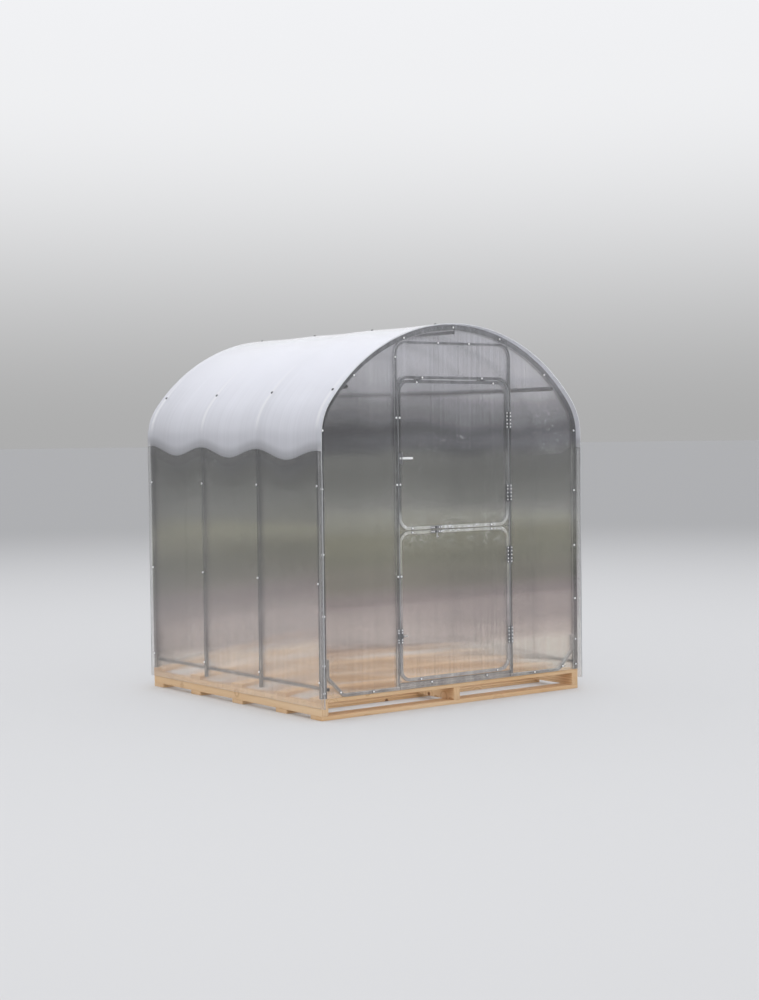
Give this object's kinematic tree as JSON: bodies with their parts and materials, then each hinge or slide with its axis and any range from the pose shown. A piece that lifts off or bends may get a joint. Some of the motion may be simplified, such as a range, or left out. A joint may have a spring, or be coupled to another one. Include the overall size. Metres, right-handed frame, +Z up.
{
  "type": "arched greenhouse",
  "caption": "Arched greenhouse of clear twin-wall sheet on steel tube arches, on a timber pallet, with a two-part end door.",
  "frame": {"origin": "on the ground under the middle of the greenhouse", "axes": "+Z up, +Y from the door end to the far end, +X to the right seen from the door end"},
  "size_m": [2.1236, 2.08, 2.4083],
  "materials": {
    "pine_board": "rough sawn pine, dry",
    "galvanised_tube": "hot-dip galvanised, dull",
    "zinc_fitting": "bright zinc plate",
    "clear_sheet": "clear twin-wall sheet with fine ribs"
  },
  "bodies": {
    "root": {"pallet_stringers": "pine_board", "pallet_bottom_boards": "pine_board", "pallet_top_boards": "pine_board", "front_arch": "galvanised_tube", "second_arch": "galvanised_tube", "third_arch": "galvanised_tube", "rear_arch": "galvanised_tube", "ridge_purlin": "galvanised_tube", "left_purlin": "galvanised_tube", "right_purlin": "galvanised_tube", "left_side_rail": "galvanised_tube", "right_side_rail": "galvanised_tube", "front_ground_rail": "galvanised_tube", "rear_ground_rail": "galvanised_tube", "front_portal": "galvanised_tube", "rear_portal": "galvanised_tube", "door_sill": "galvanised_tube", "door_lintel": "galvanised_tube", "left_wall_sheet": "clear_sheet", "right_wall_sheet": "clear_sheet", "roof_sheet": "clear_sheet", "front_sheet_left": "clear_sheet", "front_sheet_right": "clear_sheet", "front_sheet_over_door": "clear_sheet", "front_sheet_sill": "clear_sheet", "rear_sheet": "clear_sheet", "fixed_hinge_halves": "zinc_fitting", "side_bolt_keeper": "zinc_fitting", "left_wall_screws": "zinc_fitting", "right_wall_screws": "zinc_fitting", "roof_screws": "zinc_fitting"},
    "upper_leaf": {"upper_leaf_tube": "galvanised_tube", "upper_leaf_sheet": "clear_sheet", "upper_leaf_hinge_halves": "zinc_fitting", "door_pull": "zinc_fitting", "leaf_bolt_keeper": "zinc_fitting"},
    "lower_leaf": {"lower_leaf_tube": "galvanised_tube", "lower_leaf_sheet": "clear_sheet", "lower_leaf_hinge_halves": "zinc_fitting", "side_bolt_holder": "zinc_fitting", "leaf_bolt_holder": "zinc_fitting"},
    "handle": {"handle_lever": "zinc_fitting"},
    "side_bolt": {"side_bolt": "zinc_fitting"},
    "leaf_bolt": {"leaf_bolt": "zinc_fitting"}
  },
  "joints": [
    {"name": "upper_leaf_hinge", "type": "hinge", "parent": "root", "child": "upper_leaf", "pos_m": [0.452, -1.008, 1.585], "axis": [0, 0, 1], "range_deg": [0, 160]},
    {"name": "lower_leaf_hinge", "type": "hinge", "parent": "root", "child": "lower_leaf", "pos_m": [0.452, -1.008, 0.645], "axis": [0, 0, 1], "range_deg": [0, 160]},
    {"name": "handle_turn", "type": "hinge", "parent": "upper_leaf", "child": "handle", "pos_m": [-0.439, -1.008, 1.565], "axis": [0, 1, 0], "range_deg": [0, 40]},
    {"name": "side_bolt_slide", "type": "slide", "parent": "lower_leaf", "child": "side_bolt", "axis": [-1, 0, 0], "range_m": [0, 0.02]},
    {"name": "leaf_bolt_slide", "type": "slide", "parent": "lower_leaf", "child": "leaf_bolt", "axis": [0, 0, 1], "range_m": [0, 0.02]}
  ]
}
